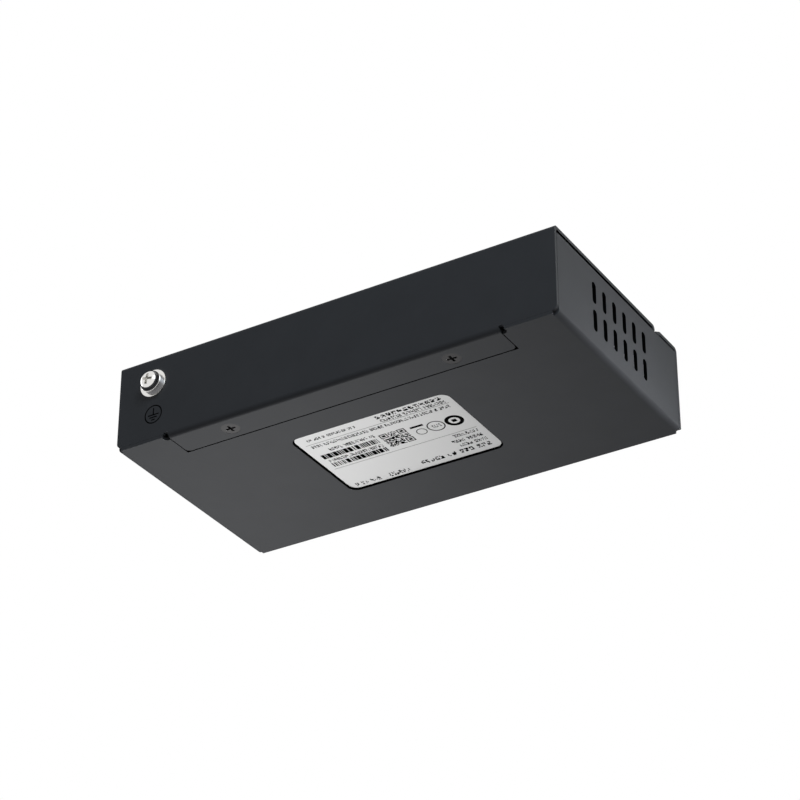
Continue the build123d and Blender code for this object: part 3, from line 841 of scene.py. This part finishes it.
    def _shade_foot(self, mesh: bpy.types.Mesh) -> None:
        """Paint shade and a dark reflection on the steep foot of the crown.

        Args:
            mesh: Mesh of the screw.
        """
        centres = np.empty(3 * len(mesh.polygons))
        mesh.polygons.foreach_get("center", centres)
        x, y, z = centres.reshape(-1, 3).T
        middle = middle_of(self.solid)
        depth = (self.solid[1].y - y) / MM
        radius = np.hypot(x - middle.x, z - middle.z) / MM
        nearest, farthest = self.foot_depth
        foot = (depth > nearest) & (depth < farthest) & (radius > self.foot_radius)
        # The faces of the crown's foot take the painted shade and dark reflection.
        mesh.materials.append(NICKEL_PAINTED_SHADE.material())
        mesh.polygons.foreach_set("material_index", foot.astype(np.int32))

    def build(self) -> bpy.types.Object:
        """Turn the screw, cut its cross and let it stand for the solid.

        Returns:
            The finished screw.
        """
        screw, punch = self._body(), self._punch()
        for piece in (screw, punch):
            turn_faces_out(piece.data)
        cut = screw.modifiers.new("cross", "BOOLEAN")
        cut.operation = "DIFFERENCE"
        cut.solver = "EXACT"
        cut.object = punch
        graph = bpy.context.evaluated_depsgraph_get()
        finished = bpy.data.meshes.new_from_object(screw.evaluated_get(graph))
        screw.modifiers.clear()
        screw.data = finished
        bpy.data.objects.remove(punch)
        self._shade_foot(finished)
        finished.shade_smooth()
        finished.set_sharp_from_angle(angle=math.radians(self.sharp_angle))
        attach(screw, BODY)
        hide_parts("ground_screw")
        return screw


@dataclass
class RearSign:
    """The earth sign printed under the ground screw: a ring, a stem and three bars.

    Lengths are in millimetres.

    Attributes:
        cover: Box of the top cover, whose rear face carries the sign.
        centre: Sign's centre, across and up.
        radius: Outer radius of the ring.
        line: Width of the lines.
        ink: Thickness of the print above and below the wall's face.
        steps: Steps round the ring.
        stem_top: Top of the stem over the centre, as a share of the radius.
        bar_drop: Depth of the first bar under the centre, as a share of the radius.
        bar_pitch: Distance between bars, as a share of the radius.
        bar_reaches: Half lengths of the bars, as shares of the radius.
    """

    cover: Box
    centre: tuple[float, float] = (57.9, 8.7)
    radius: float = 2.95
    line: float = 0.36
    ink: float = 0.012
    steps: int = 64
    stem_top: float = 0.68
    bar_drop: float = 0.06
    bar_pitch: float = 0.27
    bar_reaches: tuple[float, ...] = (0.62, 0.42, 0.2)

    def build(self) -> bpy.types.Object:
        """Print the sign on the rear wall.

        Returns:
            The printed sign.
        """
        across, up = self.centre
        origin = Vector((across * MM, self.cover[1].y, up * MM))
        axes = Axes(origin, Vector((-1, 0, 0)), Vector((0, 0, 1)), Vector((0, 1, 0)))
        levels = (-self.ink * MM, self.ink * MM)
        sign = MeshBuilder("earth_sign")
        radii = ((self.radius - self.line) * MM, self.radius * MM)
        sign.ring((0.0, 0.0), radii, *levels, axes, INK_AND_PAINTED_SHADE, self.steps)
        half, first = self.line / 2, -self.bar_drop * self.radius
        strokes = [rectangle(-half, first, half, self.stem_top * self.radius)]
        for i, share in enumerate(self.bar_reaches):
            level, reach = first - i * self.bar_pitch * self.radius, share * self.radius
            strokes.append(rectangle(-reach, level - half, reach, level + half))
        for stroke in strokes:
            sign.prism(stroke * MM, *levels, axes, INK_AND_PAINTED_SHADE)
        return sign.build("case_paint")


@dataclass
class PaintedGapShade:
    """Painted shade: black linings in the vents, in the seam round the tab and under the ends of the cover.

    Lengths are in millimetres.

    Attributes:
        cover: Box of the cover, which is as wide and reaches as far back as the case.
        vent: Width and length of a vent.
        vent_middle: Middle of the vents: distance from the rear wall and height.
        vent_pitches: Distances between columns and rows.
        vent_counts: Numbers of columns and rows.
        sheet: Thickness of the sheets.
        tab: Width and depth of the tab.
        tab_gaps: Gaps beside the tab and in front of it.
        tab_corner: Radius of the tab's corners.
        tab_sides: Length of the seam beside the tab.
        lining: Thickness of the linings.
        clearance: Distance between the lining of a vent and the cut edge that it covers.
        inset: Depth of a lining's edge below the sheet's face.
        seam_inset: Depth of the fillings in the seam of the tab.
        overhang: Width of the painted shade under each end of the cover.
        overhang_clearance: Distance between the strip and the cover's underside.
        overhang_ends: Distance of the strip's ends from the ends of the cover.
        bend_steps: Steps of a quarter round of a vent, and of the tab's corner.
    """

    cover: Box
    vent: tuple[float, float] = (2.2, 6.7)
    vent_middle: tuple[float, float] = (36.35, 13.65)
    vent_pitches: tuple[float, float] = (5.83, 8.75)
    vent_counts: tuple[int, int] = (6, 2)
    sheet: float = 1.0
    tab: tuple[float, float] = (105.3, 10.0)
    tab_gaps: tuple[float, float] = (0.3, 0.45)
    tab_corner: float = 1.5
    lining: float = 0.03
    clearance: float = 0.003
    inset: float = 0.04
    seam_inset: float = 0.03
    tab_sides: float = 7.0
    overhang: float = 2.0
    overhang_clearance: float = 0.006
    overhang_ends: float = 1.2
    bend_steps: tuple[int, int] = (9, 7)

    def _vents(self, builder: MeshBuilder, side: float) -> None:
        """Line the vents of one end wall with painted shade.

        Args:
            builder: Builder of the linings.
            side: Plus or minus one, for the wall at +X or at -X.
        """
        back, height = self.vent_middle
        origin = Vector((side * self.cover[1].x, self.cover[1].y - back * MM, height * MM))
        axes = Axes(origin, Vector((0, side, 0)), Vector((0, 0, 1)), Vector((side, 0, 0)))
        half = np.array(self.vent) / 2
        outer, inner = (rounded(half - inset, half[0] - inset, self.bend_steps[0])
                        for inset in (self.clearance, self.clearance + self.lining))
        levels = ((self.inset - self.sheet) * MM, -self.inset * MM)
        columns, rows = ((np.arange(count) - (count - 1) / 2) * pitch
                         for count, pitch in zip(self.vent_counts, self.vent_pitches))
        for across in columns:
            for up in rows:
                near, far = (outline + (across, up) for outline in (inner, outer))
                builder.band(near * MM, far * MM, *levels, axes, INK_AND_PAINTED_SHADE)

    def _seam(self, builder: MeshBuilder) -> None:
        """Paint shade into the gap in front of the tab, at its corners and beside it.

        Args:
            builder: Builder of the linings.
        """
        axes = facing_down(Vector((0.0, 0.0, 0.0)))
        levels = ((self.inset - self.sheet) * MM, -self.seam_inset * MM)
        half, front = self.tab[0] / 2, self.tab[1] - self.cover[1].y / MM
        side, ahead = (gap - self.lining for gap in self.tab_gaps)
        edge, rear = front + self.lining, front - self.tab_sides
        bend = self.tab_corner
        turn = np.linspace(0.5 * np.pi, 0.0, self.bend_steps[1])
        arc = np.column_stack((half - bend + bend * np.cos(turn), front - bend + bend * np.sin(turn)))
        corner = np.vstack((arc, (half, edge)))[::-1]
        shapes = [
            rectangle(-half - side, edge, half + side, front + ahead),
            corner,
            (corner * (-1.0, 1.0))[::-1],
            rectangle(half + self.lining, rear, half + side, edge),
            rectangle(-half - side, rear, -half - self.lining, edge),
        ]
        for shape in shapes:
            builder.prism(shape * MM, *levels, axes, INK_AND_PAINTED_SHADE)

    def _overhang(self, builder: MeshBuilder) -> None:
        """Paint shade on the cover's underside where it lies over the end walls.

        Args:
            builder: Builder of the linings.
        """
        low, high = self.cover
        axes = facing_down(Vector((0.0, 0.0, high.z - self.sheet * MM)))
        levels = (self.overhang_clearance * MM, self.lining * MM)
        ahead, behind = -low.y / MM - self.overhang_ends, -high.y / MM + self.overhang_ends
        edge = high.x / MM - self.inset
        inner = edge - self.overhang
        for strip in (rectangle(inner, behind, edge, ahead), rectangle(-edge, behind, -inner, ahead)):
            builder.prism(strip * MM, *levels, axes, INK_AND_PAINTED_SHADE)

    def build(self) -> bpy.types.Object:
        """Paint shade into the vents of both end walls, the seam of the tab and the cover's underside.

        Returns:
            The black linings of painted shade.
        """
        builder = MeshBuilder("painted_gap_shade")
        for side in (-1.0, 1.0):
            self._vents(builder, side)
        self._seam(builder)
        self._overhang(builder)
        return builder.build("case_paint")


@dataclass(frozen=True)
class Lamp:
    """One square lamp.

    Attributes:
        name: Lamp's name.
        place: Lamp's place in metres.
        power: Power in watts.
        aim: Point that it faces.
        size: Side of the square.
        spread: Full angle of its beam in degrees.
        tint: Colour of its light.
    """

    name: str
    place: Point
    power: float
    aim: Point = (0.0, 0.0, 0.0)
    size: float = 0.8
    spread: float = 180.0
    tint: Colour = (1.0, 1.0, 1.0)

    def build(self) -> None:
        """Hang the lamp and turn it to its aim."""
        data = bpy.data.lights.new(self.name, "AREA")
        data.shape = "SQUARE"
        data.size = self.size
        data.energy = self.power
        data.color = self.tint
        data.spread = math.radians(self.spread)
        lamp = link(data)
        lamp.location = self.place
        lamp.rotation_mode = "QUATERNION"
        lamp.rotation_quaternion = (Vector(self.aim) - Vector(self.place)).to_track_quat("-Z", "Y")


# The two beams stand lower than the floor, which lets their light through. One brightens the lower part
# of the end wall at -X, and the other lights the underside, which darkens from +X to -X.
LAMPS = (
    Lamp("key_above", (-0.05, -0.65, 1.1), 10.0, size=0.9),
    Lamp("end_beam", (-0.5, -0.14, -0.03), 0.05, aim=(-0.07, -0.01, -0.045), size=0.06, spread=16.0),
    Lamp("under_beam", (0.41, -0.52, -0.52), 0.085, aim=(0.075, 0.0, 0.0), size=0.1, spread=30.0),
    Lamp("far_end", (1.2, -0.3, 0.5), 6.0),
    Lamp("rear_fill", (-0.5, 0.6, 0.45), 2.5, tint=(0.9, 1.0, 1.09), size=0.5),
)


@dataclass
class Studio:
    """Camera, lamps, world and floor.

    Attributes:
        eye: Camera's place in metres.
        look: Camera's viewing direction.
        lens: Focal length in millimetres.
        sensor: Width of the sensor in millimetres.
        clip: Nearest and farthest distance that the camera sees, in metres.
        ambient: Strength of the world as a light.
        floor_drop: Depth of the floor under the switch.
        floor_half: Half of the floor's side.
        floor_colour: Colour of the floor.
    """

    eye: Point = (-0.34405, 0.56435, -0.38305)
    look: Point = (0.44467, -0.73360, 0.51390)
    lens: float = 123.83
    sensor: float = 36.0
    clip: tuple[float, float] = (0.01, 100.0)
    ambient: float = 0.15
    floor_drop: float = 0.2 * MM
    floor_half: float = 6.0
    floor_colour: Colour = (0.86, 0.86, 0.86)

    def camera(self) -> None:
        """Stand the camera where the photograph was taken from."""
        data = bpy.data.cameras.new("photo_camera")
        data.lens = self.lens
        data.sensor_width = self.sensor
        data.clip_start, data.clip_end = self.clip
        camera = link(data)
        camera.location = self.eye
        camera.rotation_mode = "QUATERNION"
        camera.rotation_quaternion = Vector(self.look).to_track_quat("-Z", "Y")
        bpy.context.scene.camera = camera

    def world(self) -> None:
        """Make the world white for the camera and for gloss, and softer as a light."""
        world = bpy.data.worlds.new("studio_world")
        world.use_nodes = True
        tree = world.node_tree
        background = tree.nodes["Background"]
        background.inputs["Color"].default_value = (1.0, 1.0, 1.0, 1.0)
        path = tree.nodes.new("ShaderNodeLightPath")
        seen = path.outputs["Is Camera Ray"]
        for ray in ("Is Glossy Ray", "Is Transmission Ray"):
            either = tree.nodes.new("ShaderNodeMath")
            either.operation = "MAXIMUM"
            tree.links.new(seen, either.inputs[0])
            tree.links.new(path.outputs[ray], either.inputs[1])
            seen = either.outputs["Value"]
        strength = tree.nodes.new("ShaderNodeMapRange")
        strength.inputs["To Min"].default_value = self.ambient
        strength.inputs["To Max"].default_value = 1.0
        tree.links.new(seen, strength.inputs["Value"])
        tree.links.new(strength.outputs["Result"], background.inputs["Strength"])
        bpy.context.scene.world = world

    def floor(self) -> None:
        """Lay the pale floor, which is seen only from above."""
        material = bpy.data.materials.new("studio_floor")
        material.use_nodes = True
        tree = material.node_tree
        tree.nodes.clear()
        output = tree.nodes.new("ShaderNodeOutputMaterial")
        mix = tree.nodes.new("ShaderNodeMixShader")
        diffuse = tree.nodes.new("ShaderNodeBsdfDiffuse")
        diffuse.inputs["Color"].default_value = (*self.floor_colour, 1.0)
        clear = tree.nodes.new("ShaderNodeBsdfTransparent")
        side = tree.nodes.new("ShaderNodeNewGeometry")
        tree.links.new(side.outputs["Backfacing"], mix.inputs["Fac"])
        tree.links.new(diffuse.outputs["BSDF"], mix.inputs[1])
        tree.links.new(clear.outputs["BSDF"], mix.inputs[2])
        tree.links.new(mix.outputs["Shader"], output.inputs["Surface"])
        mesh = bpy.data.meshes.new("studio_floor")
        half = self.floor_half
        corners = [(x, y, -self.floor_drop) for x, y in rectangle(-half, -half, half, half).tolist()]
        mesh.from_pydata(corners, [], [(0, 1, 2, 3)])
        mesh.materials.append(material)
        floor = link(mesh)
        # The floor takes the shadow of the switch, but gives it neither light nor shadow.
        floor.visible_diffuse = False
        floor.visible_glossy = False
        floor.visible_transmission = False
        floor.visible_shadow = False

    def build(self) -> None:
        """Set up the whole stage."""
        bpy.context.scene.view_settings.view_transform = "Standard"
        self.camera()
        self.world()
        self.floor()
        for lamp in LAMPS:
            lamp.build()


def paint_nodes(nodes: dict[str, bpy.types.Object]) -> None:
    """Give every solid of the switch its procedural finish.

    Args:
        nodes: Solids by name.
    """
    for name, node in nodes.items():
        material = NODE_FINISHES[name].material()
        for slot in node.material_slots:
            slot.material = material
        if not node.material_slots:
            node.data.materials.append(material)


def main() -> None:
    """Load the solids, dress them and set the stage."""
    logging.basicConfig(level=logging.INFO, format="%(name)s %(message)s")
    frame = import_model()
    paint_nodes(frame["nodes"])
    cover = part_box("top_cover")
    made = [
        *LabelPrint(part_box("rating_label")).build(),
        RearSign(cover).build(),
        GroundScrew(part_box("ground_screw")).build(),
        # Black linings of painted shade in the vents, the tab's seam and under the ends of the cover.
        PaintedGapShade(cover).build(),
    ]
    for piece in made:
        LOG.info("%s: %d faces", piece.name, len(piece.data.polygons))
    Studio().build()


if __name__ == "__main__":
    main()
